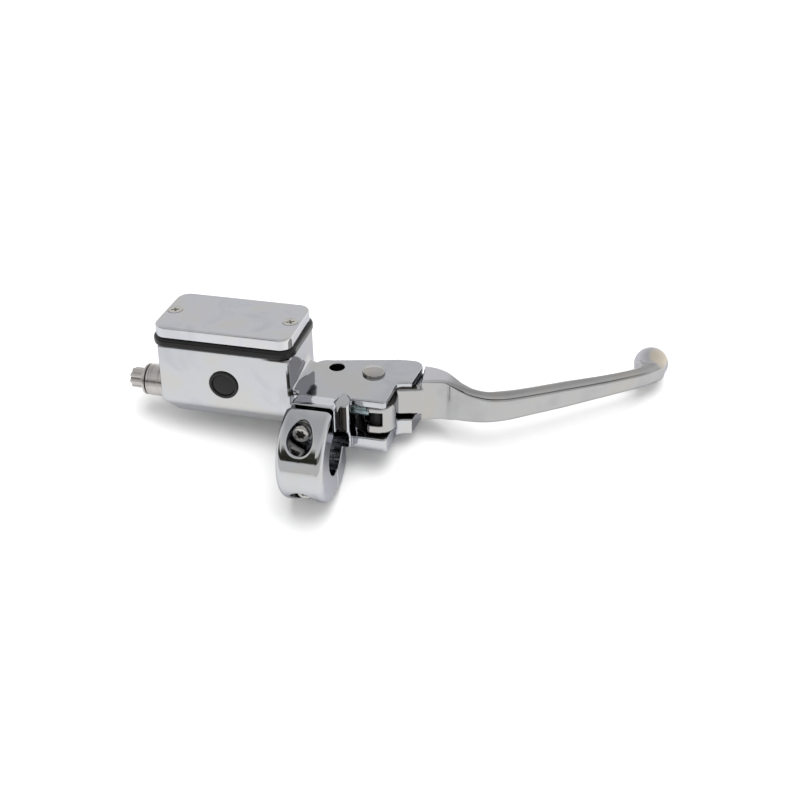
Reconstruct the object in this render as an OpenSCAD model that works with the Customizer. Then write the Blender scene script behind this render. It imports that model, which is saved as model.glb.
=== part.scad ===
// Front brake master cylinder for a motorcycle handlebar, right-hand side.
// The origin is the centre of the handlebar clamp. X runs along the handlebar
// towards its end, Y points forward, away from the rider, and Z points up.

/* [Handlebar clamp] */
// Diameter of the handlebar
bar_d = 25.4; // [24:0.1:26]
// Width of the clamp along the handlebar
clamp_w = 25; // [22:0.5:26]
// Outer radius of the clamp
clamp_r = 28; // [27:0.25:29]
// Radius of the clamp cap's outer edges
cap_round = 3; // [1:0.1:3]
// Height of the clamp bolts above and below the handlebar's axis
clamp_bolt_z = 18.8; // [17.5:0.1:19.5]
// Distance of the clamp bolts to the left of the clamp's middle
clamp_bolt_x = 2; // [1:0.1:2.1]
// Diameter of the clamp bolts
clamp_bolt_d = 6; // [5:0.5:6]
// Gap between cap and bracket above the handlebar
split_gap = 3.3; // [2:0.1:4]

/* [Reservoir] */
// Length of the reservoir along the handlebar
res_len = 78; // [74:0.5:82]
// Depth of the reservoir, front to back
res_dep = 43; // [41:0.5:45]
// Distance of the reservoir's rider side in front of the handlebar's axis
res_y0 = 15.2; // [14.5:0.1:16]
// Height of the reservoir's rim above the handlebar's axis
rim_z = 45; // [43:0.5:48]
// Thickness of the cover
cover_t = 7.1; // [5:0.1:8]
// Height of the rubber diaphragm's rim, which shows between cover and reservoir
gasket_t = 5; // [4:0.5:7]
// How far the rubber rim stands out all round
gasket_lip = 1.8; // [1:0.1:2.5]
// Corner radius of the cover
cover_corner = 7.4; // [6:0.2:9]
// Radius of the sight glass's rim
glass_r = 8.5; // [8:0.1:8.6]

/* [Cylinder bore] */
// Diameter of the bore, a half inch
bore_d = 12.7; // [12.7:0.1:13.4]
// Distance of the bore's axis in front of the handlebar's axis
bore_y = 25.2; // [25:0.1:26]
// Height of the bore's axis above the handlebar's axis
bore_z = 13.7; // [13:0.1:14]
// Height of the outlet's axis above the handlebar's axis
outlet_z = 16.2; // [15.5:0.1:16.5]

/* [Lever and its bracket] */
// Height of the bracket's top face above the handlebar's axis
plate_top = 25.6; // [25:0.1:26]
// Thickness of the bracket's top plate
plate_t = 4.7; // [4:0.1:5]
// Clear height between the bracket's two plates
clevis_gap = 19.9; // [19:0.1:20.5]
// Thickness of the bracket's bottom plate
lower_t = 10; // [8:0.5:11]
// Diameter of the pivot pin
pivot_d = 8; // [7:0.5:8.5]
// Diameter of the hole for the mirror's stem
mirror_d = 8.8; // [8:0.1:10]
// Height of the lever where it leaves the bracket
lever_h = 26.3; // [25:0.1:27]
// Diameter of the ball on the lever's end
ball_d = 20; // [17:0.2:20]

/* [Hidden] */
$fn = 64;

// Small clearances
slip = 0.05;      // radial clearance of parts that turn or slide
cut = 1;          // how far a cutting shape runs past a face

// Colours
chrome = [0.80, 0.81, 0.83];
rubber = [0.06, 0.06, 0.065];
alloy = [0.72, 0.70, 0.68];
zinc = [0.62, 0.70, 0.68];
steel = [0.60, 0.60, 0.61];

// Clamp
bar_r = bar_d / 2;
cap_edge_y = 0.3 - split_gap;    // the cap's upper edge, at the gap
foot_y0 = 1.4;                   // the bracket's lower edge, at the closed side
foot_y1 = 19.5;                  // the bracket's back below the barrel
bolt_seat_y = -8.8;
bolt_pocket_r = 6.9;
bolt_pocket_x = -0.8;            // the pockets are nearer the middle than the bolts
bolt_head_r = 4.9;
bolt_head_h = 4.8;
bolt_end_y = 14;
washer_t = 1;
bolt_washer_r = 5.5;

// Reservoir
res_x1 = -16.6;
res_x0 = res_x1 - res_len;
res_y1 = res_y0 + res_dep;
res_z0 = 0.5;
res_xm = (res_x0 + res_x1) / 2;
res_ym = (res_y0 + res_y1) / 2;
cover_len = res_len + 1.3;
cover_z0 = rim_z + gasket_t;
cover_z1 = cover_z0 + cover_t;
screw_xm = res_xm - 0.4;
screw_dx = 33.9;                 // the cover screws' distance from that middle
screw_r = 1.95;
screw_head_r = 4.3;
screw_cone_h = 2.35;
screw_tip_z = rim_z - 11;
well_len = 57;                   // the fluid well
well_dep = res_dep - 8;
well_floor = 22.3;
pan_floor = rim_z - 11;          // the underside of the rubber pan
glass_x = -55.8;
glass_z = 24.7;
glass_seat_r = 7.7;

// Bore and outlet
bore_r = bore_d / 2;
barrel_r = 9.6;
web_x0 = 9.8;
web_x1 = 14.6;
lip_r = 3.3;
bore_x0 = res_x0 + 7;
boot_x0 = web_x1 - 4.4;
clip_x0 = 7.6;
boot_r = 8.1;
adapter_r = 9.1;
adapter_len = 8.8;
outlet_x1 = res_x0 - adapter_len;
seal_t = 0.7;
copper_t = 1.35;
washer_r = 9;
bolt_x0 = outlet_x1 - seal_t - 2 * copper_t;
banjo_len = 8.8;
banjo_r = 5.9;
thread_r = 5;

// Bracket
plate_z0 = plate_top - plate_t;
lower_top = plate_z0 - clevis_gap;
lower_z0 = lower_top - lower_t;
pivot = [22.6, 44.8];
mirror = [0.6, 46.5];

// Lever
lever_zm = (plate_z0 + lower_top) / 2;
shim_t = 0.35;
hub_z0 = lower_top + shim_t;
hub_h = clevis_gap - 2 * shim_t;
hub_r = 10.4;
bush_r = 5.2;
pin_r = pivot_d / 2;
barrel_pin = [29.7, bore_y];
barrel_pin_r = 4.6;
ball = [175.2, 115.4];
block_x = 50.2;

// Piston group
rod_r = 3.7;
rod_tip_r = 2;      // the tip that stands loosely in the barrel
rod_hole_r = rod_tip_r + 1.4;
piston_x1 = 6.2;
piston_x0 = -38;
piston_r = bore_r - slip;
seal_r = bore_r - 0.02;
supply_x = -33;
timing_x = piston_x0 - 1.4;      // open while the lever is at rest
spring_x0 = bore_x0 + 0.2;
spring_x1 = piston_x0 - 3.2;

// ---- Shapes that are used more than once ----

// A rectangle with round corners, given by its middle, its size and the radius
module round_rect(xm, ym, len, dep, r) {
    translate([xm - len / 2 + r, ym - dep / 2])
        square([len - 2 * r, dep]);
    translate([xm - len / 2, ym - dep / 2 + r])
        square([len, dep - 2 * r]);
    for (sx = [-1, 1], sy = [-1, 1])
        translate([xm + sx * (len / 2 - r), ym + sy * (dep / 2 - r)])
            circle(r);
}

// The same rectangle as a block between two heights
module slab(xm, ym, len, dep, r, z0, z1) {
    translate([0, 0, z0])
        linear_extrude(z1 - z0)
            round_rect(xm, ym, len, dep, r);
}

// A round bar along X
module bar_x(x0, x1, y, z, r) {
    translate([x0, y, z])
        rotate([0, 90, 0])
            cylinder(h = x1 - x0, r = r);
}

// A round bar along Y
module bar_y(x, y0, y1, z, r) {
    translate([x, y0, z])
        rotate([-90, 0, 0])
            cylinder(h = y1 - y0, r = r);
}

// A round bar along Z
module bar_z(p, z0, z1, r) {
    translate([p[0], p[1], z0])
        cylinder(h = z1 - z0, r = r);
}

// A tube along X
module tube_x(x0, x1, y, z, r_out, r_in) {
    difference() {
        bar_x(x0, x1, y, z, r_out);
        bar_x(x0 - cut, x1 + cut, y, z, r_in);
    }
}

// A profile of [distance along X, radius] turned about the bore's axis
module turned_x(points) {
    translate([0, bore_y, bore_z])
        rotate([0, 90, 0])
            rotate_extrude()
                polygon([for (p = points) [p[1], p[0]]]);
}

// Points on an arc, with angles in degrees
function arc(c, r, a0, a1, n) =
    [for (i = [0 : n]) c + r * [cos(a0 + (a1 - a0) * i / n), sin(a0 + (a1 - a0) * i / n)]];

// One stretch of a smooth curve from b to c, with a and d as the points before and after
function stretch(a, b, c, d, t) =
    0.5 * (2 * b + t * (c - a) + t * t * (2 * a - 5 * b + 4 * c - d)
        + t * t * t * (3 * b - a - 3 * c + d));

// A smooth curve through all points, with n steps between neighbours
function smooth(p, n) =
    [for (i = [0 : len(p) - 2], k = [0 : n - 1])
        stretch(p[max(i - 1, 0)], p[i], p[i + 1], p[min(i + 2, len(p) - 1)], k / n),
     p[len(p) - 1]];

// ---- Body casting ----

// The reservoir's outside, bevelled below on the rider's side and at its inner end
module reservoir_block() {
    bevel_y = 6.2;
    bevel_z = 9.5;
    end_bevel = 6.5;
    intersection() {
        slab(res_xm, res_ym, res_len, res_dep, 2.4, res_z0, rim_z);
        translate([res_x0 - cut, 0, 0])
            rotate([90, 0, 90])
                linear_extrude(res_len + 2 * cut)
                    polygon([[res_y0, rim_z], [res_y0, res_z0 + bevel_z],
                        [res_y0 + bevel_y, res_z0], [res_y1 - 3, res_z0],
                        [res_y1, res_z0 + 3], [res_y1, rim_z]]);
        translate([0, res_y1 + cut, 0])
            rotate([90, 0, 0])
                linear_extrude(res_dep + 2 * cut)
                    polygon([[res_x0, rim_z], [res_x0, res_z0 + bevel_z],
                        [res_x0 + end_bevel, res_z0], [res_x1, res_z0],
                        [res_x1, rim_z]]);
    }
}

// The bracket's half of the clamp
module clamp_foot() {
    intersection() {
        bar_x(-clamp_w / 2, clamp_w / 2, 0, 0, clamp_r);
        union() {
            translate([-clamp_w, 0.3, 0])
                cube([2 * clamp_w, foot_y1 - 0.3, clamp_r]);
            translate([-clamp_w, foot_y0, -clamp_r])
                cube([2 * clamp_w, foot_y1 - foot_y0, clamp_r]);
        }
    }
}

// The outer end of both plates, from the front corner by the notch for the lever
function plate_end() = concat(
    [[18, 15.6]],
    arc([34.4, 17.8], 2.2, -90, 0, 6),
    [[37.4, 29]],
    arc([42.1, 33.9], 4.6, 185, 100, 8),
    [[45.9, 39.4], [47.8, 55]],
    arc([41.8, 57.5], 6.2, 0, 95, 10),
    [[33.4, 63.2]]);

// The upper plate, with the hole for the mirror's stem cut later
module top_plate() {
    translate([0, 0, plate_z0])
        linear_extrude(plate_t)
            polygon(concat([[res_x1 - 2, 17], [-12.4, 17], [-12.4, 11], [web_x0 - 0.1, 11],
                    [12, 15.6]], plate_end(),
                [[-4, 54]], arc([-6, 47.5], 6.2, 100, 165, 6), [[res_x1 - 2, 47.6]]));
}

// The lower plate, bevelled below on the rider's side like the reservoir
module bottom_plate() {
    bevel_z = 4.2;
    bevel_y = 2.7;
    intersection() {
        translate([0, 0, lower_z0])
            linear_extrude(lower_t)
                polygon(concat([[web_x0, 15.6]], plate_end(),
                    [[20, 60]], arc([17, 52.8], 7.2, 110, 180, 6)));
        rotate([90, 0, 90])
            linear_extrude(2 * clamp_r)
                polygon([[15.6, lower_top], [15.6, lower_z0 + bevel_z],
                    [15.6 + bevel_y, lower_z0], [70, lower_z0], [70, lower_top]]);
    }
}

// The wall that the pushrod comes out of, with a rounded lip on the rider's side
module web() {
    web_z0 = lower_top - 5.8;
    translate([web_x0, 14, web_z0])
        cube([web_x1 - web_x0, 19, plate_top - web_z0]);
    bar_z([web_x0 + lip_r, 14], web_z0, plate_top, lip_r);
}

module body_casting() {
    color(chrome)
        difference() {
            union() {
                reservoir_block();
                bar_x(res_x1 - 2, web_x1, bore_y, bore_z, barrel_r);
                clamp_foot();
                top_plate();
                bottom_plate();
                web();
                translate([res_x1 - 2, 17, bore_z])
                    cube([web_x0 - res_x1 + 2, 16, plate_z0 - bore_z + cut]);
            }
            // Handlebar, with a little more room beside the clamp
            bar_x(-clamp_w, clamp_w, 0, 0, bar_r);
            bar_x(clamp_w / 2, clamp_w, 0, 0, bar_r + 0.6);
            // Clamp bolts
            for (s = [-1, 1])
                bar_y(-clamp_bolt_x, 0, bolt_end_y + cut, s * clamp_bolt_z, clamp_bolt_d / 2);
            // Fluid well
            slab(res_xm, res_ym, well_len, well_dep, 5, well_floor, rim_z + cut);
            // Cover screws
            for (s = [-1, 1])
                bar_z([screw_xm + s * screw_dx, res_ym], screw_tip_z - 2, rim_z + cut, screw_r);
            // Cylinder bore, its circlip groove and the boot's seat
            bar_x(bore_x0, web_x1 + cut, bore_y, bore_z, bore_r);
            bar_x(clip_x0, clip_x0 + 1.1, bore_y, bore_z, bore_r + 0.8);
            bar_x(boot_x0, web_x1 + lip_r, bore_y, bore_z, boot_r);
            // Outlet
            bar_x(res_x0 - cut, bore_x0 + cut, bore_y, outlet_z, 4);
            // Supply port and compensating port
            bar_z([supply_x, bore_y + 1], bore_z, well_floor + cut, 1.5);
            bar_z([timing_x, bore_y + 1], bore_z, well_floor + cut, 0.6);
            // Sight glass
            bar_y(glass_x, res_y0 - cut, res_y0 + 2.4, glass_z, glass_seat_r);
            bar_y(glass_x, res_y0, res_y0 + 4.5, glass_z, 5);
            // Pivot pin and mirror
            bar_z(pivot, lower_z0 - cut, plate_top + cut, pin_r + 0.02);
            bar_z(mirror, plate_z0 - cut, plate_top + cut, mirror_d / 2);
        }
}

// ---- Reservoir ----

// A cross-section from y0 to y1 whose upper corners are rounded
module soft_section(y0, y1, r) {
    polygon(concat([[y0, cover_z0 - cut]],
        arc([y0 + r, cover_z1 - r], r, 180, 90, 8),
        arc([y1 - r, cover_z1 - r], r, 90, 0, 8),
        [[y1, cover_z0 - cut]]));
}

module cover_block() {
    dep = res_dep + 0.2;
    edge_r = 2.6;
    intersection() {
        slab(res_xm, res_ym, cover_len, dep, cover_corner, cover_z0, cover_z1);
        translate([res_xm - cover_len, 0, 0])
            rotate([90, 0, 90])
                linear_extrude(2 * cover_len)
                    soft_section(res_ym - dep / 2, res_ym + dep / 2, edge_r);
        translate([0, res_y1 + 2 * cut, 0])
            rotate([90, 0, 0])
                linear_extrude(dep + 4 * cut)
                    soft_section(res_xm - cover_len / 2, res_xm + cover_len / 2, edge_r);
    }
}

module reservoir_cover() {
    color(chrome)
        difference() {
            cover_block();
            slab(res_xm, res_ym, well_len - 2, well_dep, 5, cover_z0 - cut, cover_z0 + 2);
            for (s = [-1, 1])
                translate([screw_xm + s * screw_dx, res_ym, 0]) {
                    translate([0, 0, cover_z0 - cut])
                        cylinder(h = cover_t + 2 * cut, r = screw_r + 0.25);
                    translate([0, 0, cover_z1 - screw_cone_h])
                        cylinder(h = screw_cone_h, r1 = screw_r + 0.25, r2 = screw_head_r + 0.15);
                    translate([0, 0, cover_z1])
                        cylinder(h = cut, r = screw_head_r + 0.15);
                }
        }
}

// Rubber diaphragm: the rim that seals the cover, and the pan that follows the fluid
module diaphragm() {
    pan_len = well_len - 1;
    pan_dep = well_dep - 1;
    wall = 1.4;
    color(rubber)
        difference() {
            union() {
                slab(res_xm, res_ym, res_len + 2 * gasket_lip + 0.8, res_dep + 2 * gasket_lip,
                    9, rim_z, cover_z0);
                slab(res_xm, res_ym, pan_len, pan_dep, 4.5, pan_floor, rim_z + cut);
            }
            slab(res_xm, res_ym, pan_len - 2 * wall, pan_dep - 2 * wall, 3.4,
                pan_floor + wall, cover_z0 + cut);
            for (s = [-1, 1])
                bar_z([screw_xm + s * screw_dx, res_ym], rim_z - cut, cover_z0 + cut, screw_r + 0.1);
        }
}

// Stiff plate between the cover and the diaphragm
module diaphragm_plate() {
    color(rubber)
        difference() {
            slab(res_xm, res_ym, well_len - 2.6, well_dep - 0.6, 4.7, cover_z0, cover_z0 + 1.8);
            slab(res_xm, res_ym, well_len - 16, well_dep - 14, 4, cover_z0 - cut, cover_z0 + 3);
        }
}

module cover_screws() {
    color(steel)
        for (s = [-1, 1])
            translate([screw_xm + s * screw_dx, res_ym, 0])
                difference() {
                    union() {
                        translate([0, 0, screw_tip_z])
                            cylinder(h = cover_z1 - screw_tip_z - 1, r = screw_r - 0.03);
                        translate([0, 0, cover_z1 - screw_cone_h])
                            cylinder(h = screw_cone_h, r1 = screw_r, r2 = screw_head_r);
                    }
                    for (a = [0, 90])
                        rotate([0, 0, a + 25])
                            translate([-2.4, -0.5, cover_z1 - 1.6])
                                cube([4.8, 1, 3]);
                }
}

module sight_glass_rim() {
    color(rubber)
        difference() {
            union() {
                bar_y(glass_x, res_y0 - 1.1, res_y0, glass_z, glass_r);
                bar_y(glass_x, res_y0, res_y0 + 2.3, glass_z, glass_seat_r - 0.02);
            }
            bar_y(glass_x, res_y0 - 2, res_y0 + 1.2, glass_z, 6.6);
            bar_y(glass_x, res_y0 - 2, res_y0 + 4, glass_z, 5);
        }
}

module sight_glass() {
    color([0.10, 0.10, 0.11])
        bar_y(glass_x, res_y0 - 0.5, res_y0 + 1.2, glass_z, 6.57);
}

// Small plate on two feet that stops fluid from spurting out of the ports
module port_baffle() {
    color(steel) {
        translate([-43, bore_y - 4, well_floor + 1.2])
            cube([15, 12, 0.8]);
        for (x = [-43, -29.2])
            translate([x, bore_y - 4, well_floor])
                cube([1.2, 12, 1.2]);
    }
}

// ---- Handlebar clamp ----

module clamp_cap() {
    half = clamp_w / 2;
    color(chrome)
        difference() {
            rotate([0, 90, 0])
                rotate_extrude()
                    polygon(concat([[bar_r, -half]],
                        arc([clamp_r - cap_round, cap_round - half], cap_round, -90, 0, 8),
                        arc([clamp_r - cap_round, half - cap_round], cap_round, 0, 90, 8),
                        [[bar_r, half]]));
            translate([-clamp_w, cap_edge_y, 0])
                cube([2 * clamp_w, 2 * clamp_r, clamp_r + cut]);
            translate([-clamp_w, foot_y0 - 0.2, -clamp_r - cut])
                cube([2 * clamp_w, 2 * clamp_r, clamp_r + 2 * cut]);
            for (s = [-1, 1]) {
                bar_y(-clamp_bolt_x, -clamp_r, foot_y0 + cut, s * clamp_bolt_z, clamp_bolt_d / 2 + 0.3);
                bar_y(bolt_pocket_x, -clamp_r - cut, bolt_seat_y, s * clamp_bolt_z, bolt_pocket_r);
            }
        }
}

module clamp_bolts() {
    color(steel)
        for (s = [-1, 1])
            translate([-clamp_bolt_x, 0, s * clamp_bolt_z])
                difference() {
                    union() {
                        bar_y(0, bolt_seat_y - washer_t, bolt_end_y, 0, clamp_bolt_d / 2 - 0.03);
                        bar_y(0, bolt_seat_y - washer_t - bolt_head_h, bolt_seat_y - washer_t,
                            0, bolt_head_r);
                    }
                    translate([0, bolt_seat_y - washer_t - bolt_head_h - cut, 0])
                        rotate([-90, 0, 0])
                            for (a = [0, 60, 120])
                                rotate([0, 0, a])
                                    translate([-2.6, -0.7, 0])
                                        cube([5.2, 1.4, 3]);
                }
}

module clamp_washers() {
    color(steel)
        for (s = [-1, 1])
            difference() {
                bar_y(-clamp_bolt_x, bolt_seat_y - washer_t, bolt_seat_y, s * clamp_bolt_z, bolt_washer_r);
                bar_y(-clamp_bolt_x, bolt_seat_y - 3, bolt_seat_y + 3, s * clamp_bolt_z,
                    clamp_bolt_d / 2 + 0.2);
            }
}

// ---- Outlet ----

// Turned spigot that the hose's banjo eye is clamped against
module outlet_adapter() {
    color(alloy)
        difference() {
            union() {
                bar_x(outlet_x1, res_x0, bore_y, outlet_z, adapter_r);
                bar_x(res_x0, bore_x0, bore_y, outlet_z, 3.97);
            }
            bar_x(outlet_x1 - cut, bore_x0 + cut, bore_y, outlet_z, 2.5);
            bar_x(outlet_x1 - cut, outlet_x1 + 6, bore_y, outlet_z, thread_r);
        }
}

module sealing_washers() {
    color(steel)
        for (x = [outlet_x1 - copper_t, outlet_x1 - 2 * copper_t - seal_t])
            tube_x(x, x + copper_t, bore_y, outlet_z, washer_r, thread_r + 0.1);
}

// Thin black bonded seal between the two washers
module washer_seal() {
    color(rubber)
        tube_x(outlet_x1 - copper_t - seal_t, outlet_x1 - copper_t, bore_y, outlet_z,
            washer_r - 0.35, thread_r + 0.1);
}

module banjo_bolt() {
    flutes = 8;
    color(alloy)
        difference() {
            union() {
                bar_x(bolt_x0, outlet_x1 + 5.6, bore_y, outlet_z, thread_r - 0.03);
                bar_x(bolt_x0 - 1.6, bolt_x0, bore_y, outlet_z, 7);
                bar_x(bolt_x0 - banjo_len, bolt_x0, bore_y, outlet_z, banjo_r);
            }
            for (i = [0 : flutes - 1])
                translate([0, bore_y, outlet_z])
                    rotate([(i + 0.5) * 360 / flutes, 0, 0])
                        bar_x(bolt_x0 - banjo_len - cut, bolt_x0 - 1.6, banjo_r + 0.55, 0, 1.3);
            bar_x(bolt_x0 - 1, outlet_x1 + 7, bore_y, outlet_z, 2.4);
        }
}

// ---- Pivot ----

module pivot_pin() {
    dome_r = 6.5;
    dome_h = 2.3;
    ball_r = (dome_r * dome_r + dome_h * dome_h) / (2 * dome_h);
    color(chrome)
        difference() {
            union() {
                bar_z(pivot, lower_z0 - 2.6, plate_top, pin_r);
                translate([pivot[0], pivot[1], plate_top])
                    intersection() {
                        cylinder(h = dome_h, r = dome_r);
                        translate([0, 0, dome_h - ball_r + 0.6])
                            sphere(ball_r);
                    }
            }
            difference() {
                bar_z(pivot, lower_z0 - 1.4, lower_z0 - 0.4, pin_r + cut);
                bar_z(pivot, lower_z0 - 2, lower_z0, pin_r - 0.8);
            }
        }
}

// Open clip in the groove below the bracket
module pivot_clip() {
    color(steel)
        difference() {
            bar_z(pivot, lower_z0 - 1.35, lower_z0 - 0.45, 6);
            bar_z(pivot, lower_z0 - 2, lower_z0, pin_r - 0.78);
            translate([pivot[0] - 2.4, pivot[1], lower_z0 - 2])
                cube([4.8, 8, 3]);
        }
}

// Thin washers above and below the lever's hub
module pivot_shims() {
    color(steel)
        for (z = [lower_top, plate_z0 - shim_t + 0.05])
            difference() {
                bar_z(pivot, z, z + shim_t - 0.05, 8.5);
                bar_z(pivot, z - cut, z + cut, pin_r + 0.06);
            }
}

// ---- Parts held in the bore ----

module stop_washer() {
    color(steel)
        tube_x(clip_x0 - 1.2, clip_x0 - 0.02, bore_y, bore_z, bore_r - 0.02, rod_r + 0.5);
}

module bore_circlip() {
    color(steel)
        difference() {
            tube_x(clip_x0 + 0.02, clip_x0 + 1.08, bore_y, bore_z, bore_r + 0.75, bore_r - 1.4);
            translate([clip_x0 - cut, bore_y - 2, bore_z - 10])
                cube([3, 4, 9]);
        }
}

// Rubber boot between the bore's mouth and the pushrod
module dust_boot() {
    x0 = boot_x0 + 0.05;
    x1 = web_x1 - 0.4;
    color(rubber)
        turned_x([[x0, boot_r - 0.02], [x0 + 1.6, boot_r - 0.02], [x0 + 1.6, 6.4],
            [x0 + 2.6, 5.2], [x1, 4.6], [x1, rod_r + 0.05], [x0 + 2, rod_r + 0.05],
            [x0 + 1.2, 5], [x0, 6.4]]);
}

// Coil spring that pushes the piston back
module return_spring() {
    turns = 11;
    steps = 14;
    wire_r = 0.55;
    coil_r = 4.6;
    sides = 8;
    rings = turns * steps;
    pitch = (spring_x1 - spring_x0 - 2 * wire_r) / turns;
    ring_points = [for (i = [0 : rings], k = [0 : sides - 1])
        let (a = 360 * i / steps, b = 360 * k / sides, r = coil_r + wire_r * cos(b))
            [spring_x0 + wire_r + pitch * i / steps + wire_r * sin(b),
             bore_y + r * cos(a), bore_z + r * sin(a)]];
    side_faces = [for (i = [0 : rings - 1], k = [0 : sides - 1])
        let (n = (k + 1) % sides)
            [i * sides + k, i * sides + n, (i + 1) * sides + n, (i + 1) * sides + k]];
    first_end = [for (k = [0 : sides - 1]) sides - 1 - k];
    last_end = [for (k = [0 : sides - 1]) rings * sides + k];
    color(steel)
        polyhedron(ring_points, concat(side_faces, [first_end], [last_end]));
}

// ---- Lever ----

// The lever seen from above: the rider's edge out to the ball, and the far edge back
lever_near = [[block_x, 43.6], [61.6, 46.6], [68, 45.4], [76, 43.5], [86, 43], [96, 45],
    [106, 49.8], [128, 63.6], [150, 78.6], [166, 90.6], [176, 99], [182, 107]];
lever_far = [[167, 108], [166, 100], [160, 94.2], [147, 84.8], [127, 72.2], [104, 57.8],
    [94, 53], [84, 49.6], [74, 51.6], [66, 56.2], [57, 60.4], [48.6, 61.4]];

// Where the lever's top and underside lie above and below its middle, along X, as shares
// of its full height
lever_top = [[44, 0.521], [63, 0.51], [70, 0.452], [78, 0.392], [88, 0.365], [101, 0.365],
    [128, 0.342], [150, 0.3], [168, 0.262], [186, 0.251]];
lever_low = [[44, 0.479], [65, 0.479], [70, 0.437], [78, 0.411], [88, 0.392], [98, 0.354],
    [112, 0.316], [128, 0.297], [145, 0.266], [157, 0.259], [186, 0.259]];

module lever_blade() {
    upper = [for (p = smooth(lever_top, 4)) [p[0], p[1] * lever_h]];
    lower = [for (p = smooth(lever_low, 4)) [p[0], -p[1] * lever_h]];
    under = [for (i = [len(lower) - 1 : -1 : 0]) lower[i]];
    intersection() {
        translate([0, 0, lever_zm - lever_h])
            linear_extrude(2 * lever_h)
                polygon(concat(smooth(lever_near, 5), smooth(lever_far, 5)));
        translate([0, 130, lever_zm])
            rotate([90, 0, 0])
                linear_extrude(110)
                    polygon(concat(upper, under));
    }
}

// The arm that works the pushrod, and the tongue between hub and blade
module lever_hub() {
    translate([0, 0, hub_z0])
        linear_extrude(hub_h) {
            translate(pivot)
                circle(hub_r);
            polygon(concat([[16.4, 38], [24.8, 19.4]], arc([26.6, 20.1], 2.1, 200, 275, 4),
                arc([29.6, 28], 10, -78, -5, 10), [[38.9, 36]], [[30, 48]]));
            polygon([[20, 36], [30, 36], [38.4, 40.2], [block_x + 1, 43.8], [block_x + 1, 60.6],
                [44, 60.6], [24, 55]]);
        }
}

module lever() {
    slot_low = 7.6;
    slot_high = 17.8;
    color(chrome)
        difference() {
            union() {
                lever_hub();
                lever_blade();
                translate([ball[0], ball[1], lever_zm])
                    sphere(ball_d / 2);
            }
            bar_z(pivot, hub_z0 - cut, hub_z0 + hub_h + cut, bush_r);
            bar_z(barrel_pin, 4.5, hub_z0 + hub_h + cut, barrel_pin_r + slip);
            // Window on the rider's side
            translate([24.9, 10, slot_low])
                cube([8.9, barrel_pin[1] - 10, 16.1 - slot_low]);
            // Way in for the pushrod
            translate([8, 19.8, slot_low])
                cube([barrel_pin[0] - 8, 11.4, slot_high - slot_low]);
        }
}

module pivot_bushing() {
    color([0.72, 0.58, 0.36])
        difference() {
            bar_z(pivot, hub_z0, hub_z0 + hub_h, bush_r);
            bar_z(pivot, hub_z0 - cut, hub_z0 + hub_h + cut, pin_r + slip);
        }
}

// Round barrel in the lever's arm that the pushrod's tip enters
module pushrod_barrel() {
    color(rubber)
        difference() {
            bar_z(barrel_pin, 4.6, hub_z0 + hub_h - 0.3, barrel_pin_r);
            bar_x(barrel_pin[0] - 8, barrel_pin[0] + 2.4, bore_y, bore_z, rod_hole_r);
        }
}

// ---- Piston group ----

module piston() {
    neck_r = 4.4;
    color(alloy)
        difference() {
            turned_x([[piston_x0, 0], [piston_x0, 3], [piston_x0 + 3, 3], [piston_x0 + 3, piston_r],
                [piston_x0 + 6, piston_r], [piston_x0 + 6, neck_r], [-9, neck_r],
                [-9, piston_r], [-6, piston_r], [-6, 4.2], [-3, 4.2], [-3, piston_r],
                [piston_x1, piston_r], [piston_x1, 0]]);
            bar_x(piston_x1 - 5, piston_x1 + cut, bore_y, bore_z, rod_r + 0.15);
        }
}

module primary_cup() {
    x = piston_x0;
    color(rubber)
        turned_x([[x, 3.02], [x + 2.98, 3.02], [x + 2.98, seal_r - 0.3], [x + 1.8, seal_r - 0.3],
            [x - 0.2, seal_r], [x - 0.2, 5.4], [x + 1, 4.8], [x, 4]]);
}

module secondary_cup() {
    color(rubber)
        turned_x([[-5.98, 4.22], [-3.02, 4.22], [-3.02, seal_r - 0.3], [-4.2, seal_r - 0.3],
            [-5.98, seal_r]]);
}

module spring_seat() {
    x = piston_x0;
    color(steel)
        turned_x([[x - 3.1, 0], [x - 3.1, 3.6], [x - 1.1, 3.6], [x - 1.1, 5.2], [x - 0.3, 5.2],
            [x - 0.3, 2.6], [x, 2.6], [x, 0]]);
}

module pushrod() {
    color(zinc)
        turned_x([[piston_x1 - 4.8, 0], [piston_x1 - 4.8, 1.4], [piston_x1 - 3.6, rod_r],
            [25, rod_r], [25.8, rod_tip_r], [barrel_pin[0] + 0.8, rod_tip_r],
            [barrel_pin[0] + 1.4, 1.2], [barrel_pin[0] + 1.4, 0]]);
}

body_casting();
reservoir_cover();
diaphragm();
diaphragm_plate();
cover_screws();
sight_glass_rim();
sight_glass();
port_baffle();
clamp_cap();
clamp_bolts();
clamp_washers();
outlet_adapter();
sealing_washers();
washer_seal();
banjo_bolt();
pivot_pin();
pivot_clip();
pivot_shims();
stop_washer();
bore_circlip();
dust_boot();
return_spring();
lever();
pivot_bushing();
pushrod_barrel();
piston();
primary_cup();
secondary_cup();
spring_seat();
pushrod();
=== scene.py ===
"""Looks of a chrome motorcycle brake master cylinder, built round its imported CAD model."""
import math

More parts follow.
